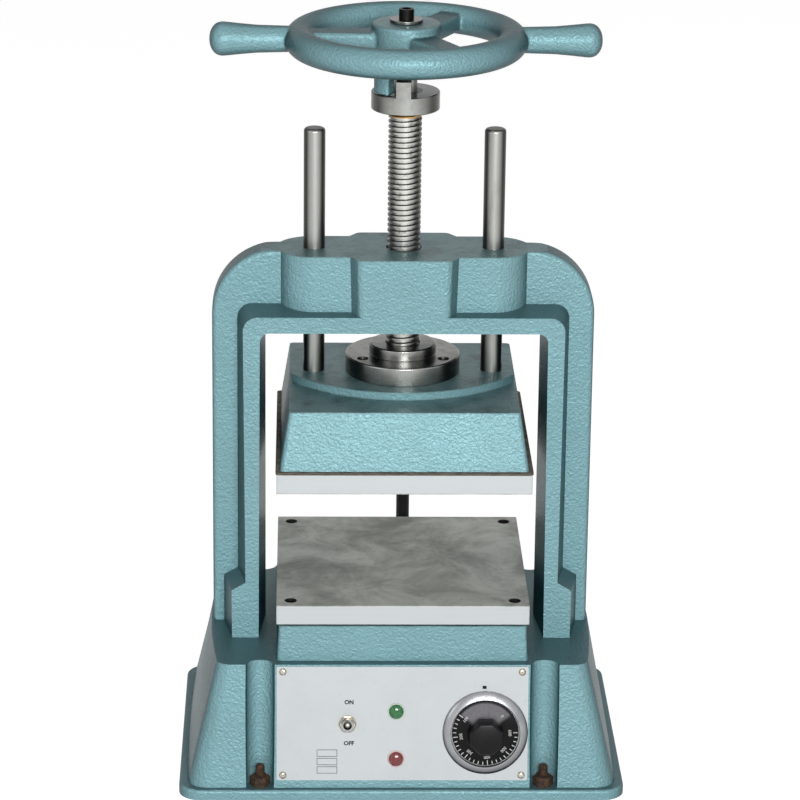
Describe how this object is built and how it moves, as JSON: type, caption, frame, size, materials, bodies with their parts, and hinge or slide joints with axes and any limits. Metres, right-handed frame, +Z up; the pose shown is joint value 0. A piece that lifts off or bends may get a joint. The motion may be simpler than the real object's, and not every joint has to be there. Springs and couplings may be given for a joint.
{
  "type": "rubber mold vulcanizer",
  "caption": "Bench vulcanizing press: a hand wheel and screw lower a heated square platen onto a fixed one, inside a portal frame on a hollow cast base with a control panel.",
  "frame": {"origin": "centre of the underside, on the axis of the press screw, at bench height", "axes": "+Z up along the press screw, -Y towards the operator and the control panel, +X to the operator's right"},
  "size_m": [0.428, 0.3412, 0.7389],
  "materials": {
    "hammer_paint": "hammered enamel over cast metal",
    "wheel_paint": "hammered enamel, worn grey where hands hold it",
    "machined_steel": "turned and polished",
    "dark_steel": "blackened",
    "sheet_steel": "plain sheet",
    "rusted_steel": "rusted",
    "bronze": "machined bronze",
    "platen_aluminium": "brushed and stained by heat",
    "panel_aluminium": "satin",
    "bright_plate": "bright plated",
    "insulation_board": "matte board",
    "lamp_rim": "matte",
    "green_lens": "gloss, clear coloured",
    "red_lens": "gloss, clear coloured",
    "black_phenolic": "moulded, slightly worn",
    "black_nylon": "moulded",
    "lead_rubber": "matte sheath"
  },
  "bodies": {
    "base": {"base_casting": "hammer_paint", "bottom_cover": "sheet_steel", "bottom_cover_screws": "dark_steel", "hold_down_studs": "rusted_steel", "hold_down_nuts": "rusted_steel", "press_frame": "hammer_paint", "frame_bolts": "dark_steel", "screw_nut": "bronze", "nut_lock_screw": "dark_steel", "guide_bushings": "bronze", "lower_insulation": "insulation_board", "lower_platen": "platen_aluminium", "lower_platen_screws": "dark_steel", "lower_heaters": "sheet_steel", "thermostat_bulb": "bronze", "control_panel": "panel_aluminium", "panel_screws": "machined_steel", "switch_body": "machined_steel", "switch_nut": "bright_plate", "power_lamp_body": "lamp_rim", "power_lamp_lens": "green_lens", "heat_lamp_body": "lamp_rim", "heat_lamp_lens": "red_lens", "thermostat_body": "sheet_steel", "dial_bezel": "panel_aluminium", "terminal_block": "black_phenolic", "cord_gland": "black_nylon", "base_lead_gland": "black_nylon", "heater_lead": "lead_rubber"},
    "head": {"upper_head": "hammer_paint", "upper_insulation": "insulation_board", "upper_platen": "platen_aluminium", "upper_platen_screws": "dark_steel", "upper_heaters": "sheet_steel", "bearing_flange": "machined_steel", "flange_screws": "dark_steel", "thrust_washers": "bronze", "guide_rods": "machined_steel", "head_lead_gland": "black_nylon"},
    "screw": {"lead_screw": "machined_steel", "stop_collar": "machined_steel", "collar_pin": "machined_steel", "hub_washer": "machined_steel", "wheel_cap_screw": "dark_steel"},
    "wheel": {"hand_wheel": "wheel_paint"},
    "lever": {"toggle_lever": "bright_plate"},
    "dial": {"thermostat_knob": "black_phenolic", "thermostat_shaft": "machined_steel"}
  },
  "joints": [
    {"name": "head_slide", "type": "slide", "parent": "base", "child": "head", "axis": [0, 0, 1], "range_m": [-0.11271, 0.02251], "deforming": ["heater_lead"]},
    {"name": "screw_turn", "type": "hinge", "parent": "head", "child": "screw", "pos_m": [0, 0, 0], "axis": [0, 0, 1], "range_deg": [-7988, 1596]},
    {"name": "wheel_swing", "type": "hinge", "parent": "screw", "child": "wheel", "pos_m": [0, 0, 0], "axis": [0, 0, 1], "range_deg": [-275, 8]},
    {"name": "toggle_throw", "type": "hinge", "parent": "base", "child": "lever", "pos_m": [-0.0525, -0.14166, 0.07315], "axis": [1, 0, 0], "range_deg": [0, 24]},
    {"name": "dial_turn", "type": "hinge", "parent": "base", "child": "dial", "pos_m": [0.0794, -0.1419, 0.0648], "axis": [0, -0.9889, 0.1483], "range_deg": [-290, 0]}
  ],
  "couplings": [
    {"joint": "screw_turn", "follows": "head_slide", "rad_per_m": 1236.8}
  ]
}
